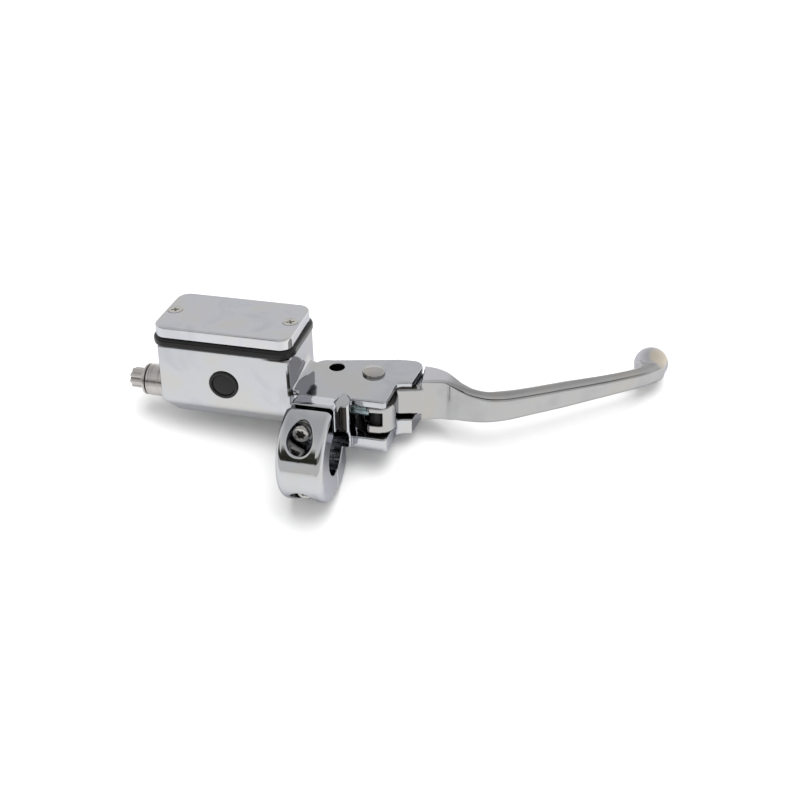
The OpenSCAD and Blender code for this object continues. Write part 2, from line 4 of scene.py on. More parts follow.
import bpy
import numpy as np
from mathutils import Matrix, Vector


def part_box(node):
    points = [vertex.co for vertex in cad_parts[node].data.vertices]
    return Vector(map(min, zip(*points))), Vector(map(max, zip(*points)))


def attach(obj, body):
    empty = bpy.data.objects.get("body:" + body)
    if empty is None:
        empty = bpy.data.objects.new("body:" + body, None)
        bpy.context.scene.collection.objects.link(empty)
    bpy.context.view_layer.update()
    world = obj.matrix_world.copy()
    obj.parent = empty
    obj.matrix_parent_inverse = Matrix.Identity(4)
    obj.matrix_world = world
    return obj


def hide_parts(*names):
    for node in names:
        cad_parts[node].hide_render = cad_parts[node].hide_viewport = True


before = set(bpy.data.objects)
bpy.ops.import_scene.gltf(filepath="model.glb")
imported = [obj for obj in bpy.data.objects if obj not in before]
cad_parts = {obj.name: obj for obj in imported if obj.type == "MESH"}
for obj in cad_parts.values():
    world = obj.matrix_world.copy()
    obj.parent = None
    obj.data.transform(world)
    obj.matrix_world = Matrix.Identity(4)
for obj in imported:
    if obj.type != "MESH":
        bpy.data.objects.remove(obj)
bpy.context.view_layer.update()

import openvdb as vdb
from mathutils import Matrix, Vector

# ---------------------------------------------------------------------------------------
# Solids are signed distance functions of x, y and z in millimetres, in the CAD's frame.
# ---------------------------------------------------------------------------------------


def smooth_max(a, b, k):
    """The larger of two distances, with the edge between them rounded over about k."""
    h = np.maximum(k - np.abs(a - b), 0) / k
    return np.maximum(a, b) + h * h * k / 4


def smooth_min(a, b, k):
    """The smaller of two distances, with a fillet of about k between them."""
    return -smooth_max(-a, -b, k)


def cut(a, b, k=0.5):
    """Solid a without solid b."""
    return smooth_max(a, -b, k)


def slab(u, v, r):
    """Two distances combined into an outer edge of radius r."""
    p = u + r
    q = v + r
    return np.hypot(np.maximum(p, 0), np.maximum(q, 0)) + np.minimum(np.maximum(p, q), 0) - r


def span(t, low, high):
    """Distance from the stretch of a line from low to high."""
    return np.abs(t - (low + high) / 2) - (high - low) / 2


def rounded_rect(x, y, low, high, r):
    """A rectangle from low to high with corners of radius r."""
    return slab(span(x, low[0], high[0]), span(y, low[1], high[1]), r)


def box(x, y, z, low, high, r=0.4):
    return slab(rounded_rect(x, y, low, high, r), span(z, low[2], high[2]), r)


def bar_x(x, y, z, x0, x1, cy, cz, radius, r=0.3):
    return slab(np.hypot(y - cy, z - cz) - radius, span(x, x0, x1), r)


def bar_y(x, y, z, y0, y1, cx, cz, radius, r=0.3):
    return slab(np.hypot(x - cx, z - cz) - radius, span(y, y0, y1), r)


def bar_z(x, y, z, z0, z1, cx, cy, radius, r=0.3):
    return slab(np.hypot(x - cx, y - cy) - radius, span(z, z0, z1), r)


def outline(x, y, points):
    """Signed distance from a closed outline in the plane."""
    best = None
    inside = None
    for (ax, ay), (bx, by) in zip(points, points[1:] + points[:1]):
        ex, ey = bx - ax, by - ay
        wx, wy = x - ax, y - ay
        t = np.clip((wx * ex + wy * ey) / (ex * ex + ey * ey), 0, 1)
        d = (wx - t * ex) ** 2 + (wy - t * ey) ** 2
        best = d if best is None else np.minimum(best, d)
        side = ex * wy - ey * wx > 0
        crossing = ((y >= ay) & (y < by) & side) | ((y < ay) & (y >= by) & ~side)
        inside = crossing if inside is None else inside ^ crossing
    return np.where(inside, -1, 1) * np.sqrt(best)


def arc(cx, cy, r, a0, a1, n):
    """n + 1 points on an arc, with its angles in degrees."""
    angles = np.radians(np.linspace(a0, a1, n + 1))
    return [(cx + r * math.cos(a), cy + r * math.sin(a)) for a in angles]


def smooth(points, n):
    """A smooth curve through all points, with n steps between neighbours."""
    p = np.array([points[0]] + list(points) + [points[-1]], float)
    curve = []
    for i in range(1, len(p) - 2):
        for t in np.arange(n) / n:
            a, b, c, d = p[i - 1 : i + 3]
            curve.append(tuple(0.5 * (2 * b + t * (c - a) + t * t * (2 * a - 5 * b + 4 * c - d)
                                      + t**3 * (3 * b - a - 3 * c + d))))
    return curve + [tuple(p[-2])]


def gradient(solid, p, eps=0.02):
    g = np.empty_like(p)
    for k in range(3):
        a, b = p.copy(), p.copy()
        a[:, k] += eps
        b[:, k] -= eps
        g[:, k] = (solid(*a.T) - solid(*b.T)) / (2 * eps)
    return g


def mesh_of(name, solid, low, high, step):
    """The solid's surface as a mesh of quads, with its exact normals."""
    axes = [np.arange(a - 2 * step, b + 3 * step, step) for a, b in zip(low, high)]
    field = solid(*np.meshgrid(*axes, indexing="ij", sparse=True))
    field = np.clip(field, -4 * step, 4 * step).astype(np.float32)
    field = np.array(np.broadcast_to(field, [len(a) for a in axes]), order="C")
    grid = vdb.FloatGrid(4 * step)
    grid.copyFromArray(field)
    points, quads = grid.convertToQuads(0.0)
    p = points.astype(float) * step + np.array([a[0] for a in axes])
    for _ in range(4):
        g = gradient(solid, p)
        size = np.maximum((g * g).sum(1), 0.04)
        move = -solid(*p.T) / size
        move = np.clip(move, -0.5 * step, 0.5 * step)
        p += move[:, None] * g
    g = gradient(solid, p)
    normals = g / np.maximum(np.linalg.norm(g, axis=1), 1e-9)[:, None]
    a, b, c = (p[quads[:, k]] for k in range(3))
    facing = (np.cross(b - a, c - a) * normals[quads[:, 0]]).sum(1)
    if np.median(facing) < 0:
        quads = quads[:, ::-1]
    mesh = bpy.data.meshes.new(name)
    mesh.from_pydata((p / 1000).tolist(), [], quads.tolist())
    mesh.update()
    mesh.polygons.foreach_set("use_smooth", np.ones(len(quads), bool))
    mesh.normals_split_custom_set_from_vertices(normals.tolist())
    return mesh


def piece(name, solid, low, high, step, material, body, nodes):
    """A finished piece that rides a body and stands for CAD nodes."""
    o = bpy.data.objects.new(name, mesh_of(name, solid, low, high, step))
    bpy.context.scene.collection.objects.link(o)
    o.data.materials.append(material)
    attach(o, body)
    if nodes:
        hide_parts(*nodes)
    print("piece", name, len(o.data.polygons))
    return o


# ---------------------------------------------------------------------------------------
# Sizes in millimetres, as in the CAD model
# ---------------------------------------------------------------------------------------


def mm(node):
    """The CAD node's box in millimetres."""
    low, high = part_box(node)
    return [v * 1000 for v in low], [v * 1000 for v in high]


COVER_LOW, COVER_HIGH = mm("reservoir_cover")
RIM_LOW, RIM_HIGH = mm("diaphragm")
ADAPTER_LOW, ADAPTER_HIGH = mm("outlet_adapter")
RIM_Z = 45.0
BAR_R = 12.7
CLAMP_R = 28.0
CLAMP_X = 12.5
BOLT_X = -2.0
POCKET_X = -0.8
BOLT_Z = 18.8
BORE_Y = 25.2
BORE_Z = 13.7
OUTLET_Z = 16.2
PLATE_TOP = 25.6
PLATE_LOW = 20.9
LOWER_TOP = 1.0
LOWER_Z = -9.0
PIVOT = (22.6, 44.8)
MIRROR = (0.6, 46.5)
MIRROR_BOSS_Z = 12.4
LEVER_Z = (PLATE_LOW + LOWER_TOP) / 2
RES_X = (-94.6, -16.6)
RES_Y = (15.2, 58.2)
SCREWS = [(-56.0 - 33.9, 36.7), (-56.0 + 33.9, 36.7)]
GLASS = (-55.8, 24.7)
BORE_R = 6.35
PIN_HOLE_R = 4.02
MIRROR_R = 4.4
WELL_LOW = (-84.1, 19.2)
WELL_HIGH = (-27.1, 54.2)
WELL_FLOOR = 22.3
WELL_CORNER = 5
FACE_Y = 15.6
WALL_X = 9.8
BALL_R = 10.0
ABOVE = 60

# ---------------------------------------------------------------------------------------
# Materials
# ---------------------------------------------------------------------------------------


def new_material(name, colour, metallic, roughness):
    """A principled material with its nodes and the object's own coordinates, in metres."""
    m = bpy.data.materials.new(name)
    m.use_nodes = True
    nt = m.node_tree
    shader = nt.nodes["Principled BSDF"]
    shader.inputs["Base Color"].default_value = (*colour, 1)
    shader.inputs["Metallic"].default_value = metallic
    shader.inputs["Roughness"].default_value = roughness
    coords = nt.nodes.new("ShaderNodeTexCoord")
    return m, nt, shader, coords.outputs["Object"]


def noise(nt, coords, scale, detail=3.0, distortion=0.0):
    n = nt.nodes.new("ShaderNodeTexNoise")
    n.inputs["Scale"].default_value = scale
    n.inputs["Detail"].default_value = detail
    n.inputs["Distortion"].default_value = distortion
    nt.links.new(coords, n.inputs["Vector"])
    return n.outputs["Fac"]


def ramp(nt, value, stops):
    """Colours or greys at positions along a value."""
    r = nt.nodes.new("ShaderNodeValToRGB")
    while len(r.color_ramp.elements) < len(stops):
        r.color_ramp.elements.new(0.5)
    for element, (at, colour) in zip(r.color_ramp.elements, stops):
        element.position = at
        element.color = (*colour, 1) if isinstance(colour, tuple) else (colour,) * 3 + (1,)
    nt.links.new(value, r.inputs["Fac"])
    return r.outputs["Color"]


def bump(nt, shader, height, strength, distance):
    b = nt.nodes.new("ShaderNodeBump")
    b.inputs["Strength"].default_value = strength
    b.inputs["Distance"].default_value = distance
    nt.links.new(height, b.inputs["Height"])
    nt.links.new(b.outputs["Normal"], shader.inputs["Normal"])
    return b


def math_node(nt, operation, a, b=0.0):
    """A maths node on two values, each a number or another node's output."""
    n = nt.nodes.new("ShaderNodeMath")
    n.operation = operation
    for socket, value in zip(n.inputs, (a, b)):
        if isinstance(value, (int, float)):
            socket.default_value = value
        else:
            nt.links.new(value, socket)
    return n.outputs[0]


def inside(nt, coords, keep, centre, radius, axis, low, high, edge=0.02):
    """1 within a radius of an axis and between two heights along it, in millimetres."""
    flat = nt.nodes.new("ShaderNodeVectorMath")
    flat.operation = "MULTIPLY"
    nt.links.new(coords, flat.inputs[0])
    flat.inputs[1].default_value = keep
    reach = nt.nodes.new("ShaderNodeVectorMath")
    reach.operation = "DISTANCE"
    nt.links.new(flat.outputs[0], reach.inputs[0])
    reach.inputs[1].default_value = [c / 1000 for c in centre]
    split = nt.nodes.new("ShaderNodeSeparateXYZ")
    nt.links.new(coords, split.inputs[0])
    along = split.outputs[axis]
    share = math_node(nt, "DIVIDE", reach.outputs["Value"], radius / 1000)
    near = ramp(nt, share, [(1 - edge, 1.0), (1.0, 0.0)])
    above_low = math_node(nt, "SUBTRACT", along, low / 1000)
    depth = math_node(nt, "DIVIDE", above_low, (high - low) / 1000)
    between = ramp(nt, depth, [(0.0, 0.0), (edge, 1.0), (1 - edge, 1.0), (1.0, 0.0)])
    return math_node(nt, "MULTIPLY", near, between)


def blend_colour(nt, factor, a, b):
    n = nt.nodes.new("ShaderNodeMix")
    n.data_type = "RGBA"
    nt.links.new(factor, n.inputs["Factor"])
    for socket, value in ((n.inputs["A"], a), (n.inputs["B"], b)):
        if isinstance(value, tuple):
            socket.default_value = (*value, 1)
        else:
            nt.links.new(value, socket)
    return n.outputs["Result"]


RIM_TINT = (0.62, 0.62, 0.66, 1)
PAINTED_ZONE_ROUGHNESS = (0.42, 0.42, 0.42)


def chrome(name, tint, wave, painted_light_and_shade=()):
    """Chrome plating: cloudy tints, a slightly wavy surface, fine polishing marks and
    colours painted into given zones: painted shade in hollows and gaps, painted highlights and
    reflections."""
    m, nt, shader, coords = new_material(name, tint, 1.0, 0.07)
    shader.inputs["Specular Tint"].default_value = RIM_TINT
    low, mid, high = [tuple(c * k for c in tint) for k in (0.87, 1.0, 1.04)]
    warm = (mid[0] * 1.02, mid[1] * 0.99, mid[2] * 0.92)
    cloud = noise(nt, coords, 38, 5, 0.8)
    colour = ramp(nt, cloud, [(0.25, low), (0.45, mid), (0.62, warm), (0.8, high)])
    marks = noise(nt, coords, 420, 2)
    rough = ramp(nt, marks, [(0.3, 0.045), (0.75, 0.12)])
    # Each zone's colour is painted light or shade: near-black for shade in hollows and gaps, paler for
    # highlights and reflections
    for tone, region in painted_light_and_shade:
        painted_mask = inside(nt, coords, *region)
        colour = blend_colour(nt, painted_mask, colour, tone)
        rough = blend_colour(nt, painted_mask, rough, PAINTED_ZONE_ROUGHNESS)
    nt.links.new(colour, shader.inputs["Base Color"])
    nt.links.new(rough, shader.inputs["Roughness"])
    bump(nt, shader, noise(nt, coords, 120, 2, 0.3), wave, 0.0004)
    return m


def turned_metal(name, colour, rings):
    """Turned metal: fine rings about an axis along X."""
    m, nt, shader, coords = new_material(name, colour, 1.0, 0.25)
    wave = nt.nodes.new("ShaderNodeTexWave")
    wave.wave_type = "BANDS"
    wave.bands_direction = "X"
    wave.inputs["Scale"].default_value = rings
    wave.inputs["Distortion"].default_value = 0.6
    wave.inputs["Detail"].default_value = 3
    nt.links.new(coords, wave.inputs["Vector"])
    rough = ramp(nt, wave.outputs["Fac"], [(0.0, 0.16), (1.0, 0.34)])
    nt.links.new(rough, shader.inputs["Roughness"])
    patches = noise(nt, coords, 90, 3)
    dark = tuple(c * 0.86 for c in colour)
    nt.links.new(ramp(nt, patches, [(0.35, dark), (0.65, colour)]), shader.inputs["Base Color"])
    bump(nt, shader, wave.outputs["Fac"], 0.35, 0.00006)
    return m


def plain_metal(name, colour, rough, grain=260, painted_light_and_shade=()):
    """Plated or plain steel, with a fine grain, uneven colour and painted shade in given hollows."""
    m, nt, shader, coords = new_material(name, colour, 1.0, rough)
    n = noise(nt, coords, grain, 4)
    dark = tuple(c * 0.78 for c in colour)
    tone = ramp(nt, n, [(0.3, dark), (0.7, colour)])
    # Painted shade in the given hollows
    for shade_tone, region in painted_light_and_shade:
        tone = blend_colour(nt, inside(nt, coords, *region), tone, shade_tone)
    nt.links.new(tone, shader.inputs["Base Color"])
    nt.links.new(ramp(nt, noise(nt, coords, grain * 3, 3), [(0.3, rough * 0.7), (0.7, rough * 1.4)]),
                 shader.inputs["Roughness"])
    bump(nt, shader, n, 0.25, 0.00005)
    return m


def black(name, grey, rough, grain, height):
    """Rubber or plastic in black, with a fine skin and a little dust."""
    m, nt, shader, coords = new_material(name, (grey,) * 3, 0.0, rough)
    shader.inputs["Specular IOR Level"].default_value = 0.28
    fine = noise(nt, coords, grain, 5)
    nt.links.new(ramp(nt, noise(nt, coords, 160, 4), [(0.3, grey * 0.7), (0.75, grey * 1.5)]),
                 shader.inputs["Base Color"])
    nt.links.new(ramp(nt, fine, [(0.3, rough * 0.8), (0.7, min(rough * 1.25, 1))]),
                 shader.inputs["Roughness"])
    bump(nt, shader, fine, 0.4, height)
    return m


# Near-black painted shade for hollows, crevices and gaps in the chrome
PAINTED_SHADE = (0.045, 0.042, 0.038)
# Painted highlight on the lever's top by its root
ROOT_TOP_HIGHLIGHT = (0.58, 0.58, 0.61)
# Lighter painted sheen over the lever's ball
BALL_PAINTED_SHEEN = (0.47, 0.47, 0.50)
# Beige painted reflection on the lever's ball
BALL_BEIGE_REFLECTION = (0.66, 0.61, 0.51)
# Painted shade for the clamp bolts' star recesses
STAR_RECESS_SHADE = (0.13, 0.12, 0.11)
# Zones of painted light and shade: tone, then coordinates kept, centre, radius, axis along, and from
# where to where on it
ROUND_Z, ROUND_Y, ROUND_X = (1, 1, 0), (1, 0, 1), (0, 1, 1)
# Painted shade on the casting: inside the mirror hole and the cylinder bore, which are also unplated,
# between the plates behind the pushrod wall, along the top plate's lower edge, at the front of the lip,
# down the tank's front right corner and its foot, and under the rubber rim's front edge
CASTING_PAINTED_SHADE = [(PAINTED_SHADE, (ROUND_Z, (*MIRROR, 0), 4.8, "Z", 0, 25.2)),
           (PAINTED_SHADE, (ROUND_X, (0, BORE_Y, BORE_Z), 8.4, "X", -90, 20)),
           (PAINTED_SHADE, (ROUND_Z, (33, 41, 0), 23, "Z", 0.6, 21.2)),
           (PAINTED_SHADE, (ROUND_Z, (41, 31, 0), 14, "Z", 20, 22.9)),
           (PAINTED_SHADE, (ROUND_Z, (13.6, 10.2, 0), 2.5, "Z", 6, 22.6)),
           (PAINTED_SHADE, (ROUND_Z, (-17.7, 14.9, 0), 1.2, "Z", 24, 39.6, 0.25)),
           (PAINTED_SHADE, (ROUND_Z, (-16.6, 15.2, 0), 2.4, "Z", 21.5, 26.5, 0.3)),
           (PAINTED_SHADE, (ROUND_X, (0, 15.2, 45.2), 2.2, "X", -33, -15, 0.3))]
CHROME = chrome("chrome_casting", (0.475, 0.485, 0.512), 0.16, CASTING_PAINTED_SHADE)
CHROME_COVER = chrome("chrome_cover", (0.555, 0.56, 0.59), 0.05)
# Painted light and shade on the lever: first a painted shadow along the hub's top and bottom edges, in
# the gaps by the plates
LEVER_PAINTED_LIGHT = [(PAINTED_SHADE, (ROUND_Z, (30, 34, 0), 20.5, "Z", 19.2, 21)),
                 (PAINTED_SHADE, (ROUND_Z, (30, 34, 0), 20.5, "Z", 1, 3.4)),
                 # a painted highlight on the blade's top by its root
                 (ROOT_TOP_HIGHLIGHT, (ROUND_Z, (54, 52, 0), 18, "Z", 23, 27, 0.4)),
                 # a lighter painted sheen over the ball, and a beige painted reflection on it
                 (BALL_PAINTED_SHEEN, (ROUND_Z, (175, 115, 0), 12.5, "Z", 9, 24, 0.3)),
                 (BALL_BEIGE_REFLECTION, (ROUND_Z, (180, 111, 0), 7.5, "Z", 13, 23, 0.3))]
CHROME_LEVER = chrome("chrome_lever", (0.385, 0.385, 0.39), 0.09, LEVER_PAINTED_LIGHT)
PIN = chrome("polished_pin", (0.42, 0.41, 0.405), 0.05)
RUBBER = black("black_rubber", 0.006, 0.27, 1500, 0.00003)
PLASTIC = black("black_plastic", 0.012, 0.5, 2200, 0.00003)
GLASS_RIM = black("glass_rim", 0.008, 0.30, 1800, 0.00002)
DARK_GLASS = black("dark_glass", 0.006, 0.22, 900, 0.00001)
ZINC_SCREW = plain_metal("zinc_screw", (0.55, 0.53, 0.50), 0.26)
# The clamp bolts get painted shade in their star recesses
BOLT_STEEL = plain_metal("bolt_steel", (0.46, 0.45, 0.43), 0.16, 260,
                         [(STAR_RECESS_SHADE, (ROUND_Y, (BOLT_X, 0, side * BOLT_Z), 2.9, "Y", -14.2, -8, 0.1))
                          for side in (1, -1)])
SPRING_STEEL = plain_metal("spring_steel", (0.42, 0.42, 0.43), 0.3)
ZINC_ROD = plain_metal("zinc_rod", (0.42, 0.52, 0.54), 0.28)
ALUMINIUM = turned_metal("turned_aluminium", (0.50, 0.475, 0.46), 900)
BRONZE = plain_metal("bronze_bushing", (0.52, 0.38, 0.20), 0.35)

# ---------------------------------------------------------------------------------------
# Body casting
# ---------------------------------------------------------------------------------------


def reservoir(x, y, z):
    """The block of the reservoir, drafted at its inner end and bevelled below."""
    inner_end = (-93.4 - 0.045 * (RIM_Z - z) - x) / 1.001
    ends = np.maximum(inner_end, x - RES_X[1])
    sides = np.maximum(RES_Y[0] - y, y - RES_Y[1])
    d = smooth_max(ends, sides, 1.8)
    front_bevel = ((RES_Y[0] - y) * 9.5 + (10.0 - z) * 6.2) / math.hypot(9.5, 6.2)
    end_bevel = ((-95.0 - x) * 9.5 + (10.0 - z) * 6.5) / math.hypot(9.5, 6.5)
    back_bevel = ((y - RES_Y[1]) + (3.5 - z)) / math.sqrt(2)
    for bevel in (front_bevel, end_bevel, back_bevel):
        d = smooth_max(d, bevel, 1.6)
    return smooth_max(d, np.maximum(0.5 - z, z - RIM_Z), 1.0)


def plate_end():
    """The outer end of both plates, from the front corner by the notch for the lever."""
    return ([(18, FACE_Y)] + arc(34.4, 17.8, 2.2, -90, 0, 6) + [(37.4, 29)]
            + arc(42.1, 33.9, 4.6, 185, 100, 8) + [(45.9, 39.4), (47.8, 55)]
            + arc(41.8, 57.5, 6.2, 0, 95, 10) + [(33.4, 63.2)])


TOP_PLATE = ([(-20, 19), (-12.2, 17), (-12.2, 4), (9.7, 4), (12, FACE_Y)] + plate_end()
             + [(-4, 54)] + arc(-6, 47.5, 6.2, 100, 165, 6) + [(-20, 47.6)])
BOTTOM_PLATE = [(WALL_X, FACE_Y)] + plate_end() + [(20, 60)] + arc(17, 52.8, 7.2, 110, 180, 6)


def plates(x, y, z):
    top = slab(outline(x, y, TOP_PLATE), span(z, PLATE_LOW, PLATE_TOP), 0.9)
    top = smooth_min(top, bar_z(x, y, z, MIRROR_BOSS_Z, PLATE_LOW + 1, *MIRROR, 7.2), 0.6)
    low = slab(outline(x, y, BOTTOM_PLATE), span(z, LOWER_Z, LOWER_TOP), 0.8)
    rise, run = 4.2, 2.7
    bevel = ((FACE_Y - y) * rise + (LOWER_Z + rise - z) * run) / math.hypot(rise, run)
    return top, smooth_max(low, bevel, 0.8)


def clamp_foot(x, y, z):
    ring = slab(np.hypot(y, z) - CLAMP_R, span(x, -CLAMP_X, CLAMP_X), 2.4)
    front = np.where(z > 0, 0.3 - y, 1.3 - y)
    return smooth_max(smooth_max(ring, front, 0.7), y - 19.5, 2.0)


def web(x, y, z):
    """The wall round the pushrod, with a rounded lip whose top has a pointed bevel."""
    foot = -4.8
    wall = box(x, y, z, (WALL_X, 14.5, foot), (14.6, 33, PLATE_TOP - 1.2), 0.8)
    lip = bar_z(x, y, z, foot, PLATE_TOP, 13.4, 14.4, 3.75, 0.5)
    d = smooth_min(wall, lip, 0.8)
    pointed = np.maximum(np.hypot(x - 19.27, y - 12.4) - 9.67, np.hypot(x - 9.74, y - 12.4) - 7.56)
    above = (PLATE_TOP - 0.45 - 0.2 * (19.4 - y)) - z
    return d, np.maximum(pointed, above)


def body(x, y, z):
    tank = reservoir(x, y, z)
    barrel = bar_x(x, y, z, RES_X[1] - 4, 14.6, BORE_Y, BORE_Z, 9.6, 0.6)
    top, low = plates(x, y, z)
    foot = clamp_foot(x, y, z)
    wall, facet = web(x, y, z)
    bridge = box(x, y, z, (RES_X[1] - 4, 17, BORE_Z), (11, 33, PLATE_LOW + 2), 0.6)
    d = smooth_min(barrel, bridge, 2.0)
    d = smooth_min(d, top, 2.5)
    d = smooth_min(d, foot, 1.6)
    d = smooth_min(d, tank, np.interp(y, [15, 27, 35, 47], [2.0, 0.8, 5.0, 7.5]))
    d = smooth_min(d, low, 0.8)
    d = smooth_min(d, wall, 0.4)
    d = cut(d, facet, 1.0)
    # Handlebar and the clamp bolts' threads
    d = cut(d, np.hypot(y, z) - np.where(x > CLAMP_X, BAR_R + 0.6, BAR_R), 0.5)
    for s in (-1, 1):
        d = cut(d, bar_y(x, y, z, -4, 15, BOLT_X, s * BOLT_Z, 3.0), 0.4)
    # Fluid well, cover screws, ports
    well = slab(rounded_rect(x, y, WELL_LOW, WELL_HIGH, WELL_CORNER), span(z, WELL_FLOOR, ABOVE), 1.0)
    d = cut(d, well, 0.6)
    for sx, sy in SCREWS:
        d = cut(d, bar_z(x, y, z, 32, ABOVE, sx, sy, 1.95), 0.3)
    d = cut(d, bar_z(x, y, z, BORE_Z, 24, -33, BORE_Y + 1, 1.5), 0.2)
    d = cut(d, bar_z(x, y, z, BORE_Z, 24, -39.4, BORE_Y + 1, 0.7), 0.1)
    # Cylinder bore with its groove, the boot's seat and the outlet
    d = cut(d, bar_x(x, y, z, -87.6, 30, BORE_Y, BORE_Z, BORE_R), 0.2)
    d = cut(d, bar_x(x, y, z, 7.6, 8.7, BORE_Y, BORE_Z, BORE_R + 0.8, 0.1), 0.1)
    d = cut(d, bar_x(x, y, z, 10.2, 30, BORE_Y, BORE_Z, 8.1), 0.6)
    d = cut(d, bar_x(x, y, z, -110, -86.6, BORE_Y, OUTLET_Z, 4.0), 0.4)
    # Sight glass, pivot pin and mirror
    d = cut(d, bar_y(x, y, z, 5, 17.6, *GLASS, 7.7), 0.4)
    d = cut(d, bar_y(x, y, z, 5, 19.7, *GLASS, 5.0), 0.4)
    d = cut(d, np.hypot(x - PIVOT[0], y - PIVOT[1]) - PIN_HOLE_R, 0.5)
    mirror_hole = np.hypot(x - MIRROR[0], y - MIRROR[1]) - MIRROR_R
    return cut(d, np.maximum(mirror_hole, 8 - z), 0.5)


piece("casting", body, (-96.5, -1, -29), (49, 65, 46), 0.68, CHROME, "bracket",
      ["body_casting"])

# ---------------------------------------------------------------------------------------
# Clamp cap, bolts and washers
# ---------------------------------------------------------------------------------------


def clamp_cap(x, y, z):
    ring = slab(np.hypot(y, z) - CLAMP_R, span(x, -CLAMP_X - 1.0, CLAMP_X), 3.8)
    ends = np.where(z > 0, y + 3.0, y - 1.2)
    d = smooth_max(ring, ends, 0.9)
    d = cut(d, np.hypot(y, z) - BAR_R, 0.7)
    for s in (-1, 1):
        d = cut(d, bar_y(x, y, z, -9, 6, BOLT_X, s * BOLT_Z, 3.3), 0.3)
        d = cut(d, bar_y(x, y, z, -40, -8.8, POCKET_X, s * BOLT_Z, 6.9), 0.9)
    return d


piece("clamp_cap_shell", clamp_cap, (-14, -28.5, -28.5), (13, 2, 28.5), 0.38, CHROME, "bracket",
      ["clamp_cap"])


def lobed(u, v, radius, depth, count):
    """A lobed outline: a circle whose radius swings by depth, count times round."""
    return np.hypot(u, v) - radius - depth * np.cos(count * np.arctan2(v, u))


def clamp_bolt(x, y, z, side):
    cz = side * BOLT_Z
    shank = bar_y(x, y, z, -9.8, 14, BOLT_X, cz, 2.97, 0.4)
    head = bar_y(x, y, z, -14.6, -9.8, BOLT_X, cz, 4.9, 1.1)
    star = np.maximum(lobed(x - BOLT_X, z - cz, 2.35, 0.38, 6), y + 12.0)
    return cut(smooth_min(shank, head, 0.4), star, 0.25)


def washer(x, y, z, side):
    cz = side * BOLT_Z
    disc = bar_y(x, y, z, -9.8, -8.8, BOLT_X, cz, 5.5, 0.3)
    return cut(disc, np.hypot(x - BOLT_X, z - cz) - 3.2, 0.1)


for side, word in ((1, "upper"), (-1, "lower")):
    cz = side * BOLT_Z
    piece(f"clamp_bolt_{word}", lambda x, y, z, s=side: clamp_bolt(x, y, z, s),
          (BOLT_X - 5, -14.7, cz - 5), (BOLT_X + 5, 14.2, cz + 5), 0.2, BOLT_STEEL, "bracket",
          ["clamp_bolts"])
    piece(f"clamp_washer_{word}", lambda x, y, z, s=side: washer(x, y, z, s),
          (BOLT_X - 6, -10, cz - 6), (BOLT_X + 6, -8.7, cz + 6), 0.2, BOLT_STEEL, "bracket",
          ["clamp_washers"])

# ---------------------------------------------------------------------------------------
# Cover, rubber rim, screws and sight glass
# ---------------------------------------------------------------------------------------


def cover(x, y, z):
    plan = rounded_rect(x, y, COVER_LOW, COVER_HIGH, 7.4)
    d = slab(plan, span(z, COVER_LOW[2], COVER_HIGH[2]), 0.5)
    d = smooth_max(d, slab(plan, z - COVER_HIGH[2], 1.3), 0.3)
    region = rounded_rect(x, y, (-83, WELL_LOW[1]), (-28, WELL_HIGH[1]), WELL_CORNER)
    d = cut(d, slab(region, span(z, 40, COVER_LOW[2] + 2), 0.3), 0.3)
    for sx, sy in SCREWS:
        r = np.hypot(x - sx, y - sy)
        cone = (r - 4.6 + (COVER_HIGH[2] - z)) / math.sqrt(2)
        d = cut(d, np.maximum(cone, r - 4.5), 0.25)
        d = cut(d, r - 2.2, 0.2)
    return d


piece("cover_plate", cover, COVER_LOW, COVER_HIGH, 0.5, CHROME_COVER, "bracket",
      ["reservoir_cover"])


def diaphragm(x, y, z):
    plan = rounded_rect(x, y, RIM_LOW, RIM_HIGH, 9.2)
    wavy = 0.12 * np.sin(x / 9.0) * np.sin(y / 7.0 + 1)
    rim = slab(plan + wavy, span(z, RIM_Z, COVER_LOW[2]), 1.5)
    pan = slab(rounded_rect(x, y, (-83.6, 19.7), (-27.6, 53.7), 4.5), span(z, 34, 46), 0.6)
    d = smooth_min(rim, pan, 0.5)
    d = cut(d, slab(rounded_rect(x, y, (-82.2, 21.1), (-29, 52.3), 3.4), span(z, 35.4, ABOVE), 0.5), 0.4)
    for sx, sy in SCREWS:
        d = cut(d, np.hypot(x - sx, y - sy) - 2.05, 0.2)
    return d


piece("diaphragm_rubber", diaphragm, RIM_LOW, RIM_HIGH, 0.45, RUBBER, "bracket",
      ["diaphragm"])


def cover_screw(x, y, z, sx, sy):
    top = COVER_HIGH[2]
    r = np.hypot(x - sx, y - sy)
    shank = slab(r - 1.92, span(z, 34, top - 1), 0.3)
    cone = (r - 4.35 + (top - 0.1 - z)) / math.sqrt(2)
    head = smooth_max(np.maximum(cone, r - 4.25), span(z, top - 2.6, top - 0.05), 0.3)
    turn = math.radians(25)
    u = (x - sx) * math.cos(turn) + (y - sy) * math.sin(turn)
    v = (y - sy) * math.cos(turn) - (x - sx) * math.sin(turn)
    taper = 0.35 * (top - z)
    arm_u = np.maximum(np.abs(u) - 2.3 + taper, np.abs(v) - 0.55 + 0.4 * taper)
    arm_v = np.maximum(np.abs(v) - 2.3 + taper, np.abs(u) - 0.55 + 0.4 * taper)
    cross = smooth_min(arm_u, arm_v, 0.5)
    return cut(smooth_min(shank, head, 0.3), np.maximum(cross, top - 1.9 - z), 0.15)


for (sx, sy), word in zip(SCREWS, ("inner", "outer")):
    piece(f"cover_screw_{word}", lambda x, y, z, a=sx, b=sy: cover_screw(x, y, z, a, b),
          (sx - 4.6, sy - 4.6, 33.8), (sx + 4.6, sy + 4.6, COVER_HIGH[2]), 0.17, ZINC_SCREW, "bracket",
          ["cover_screws"])


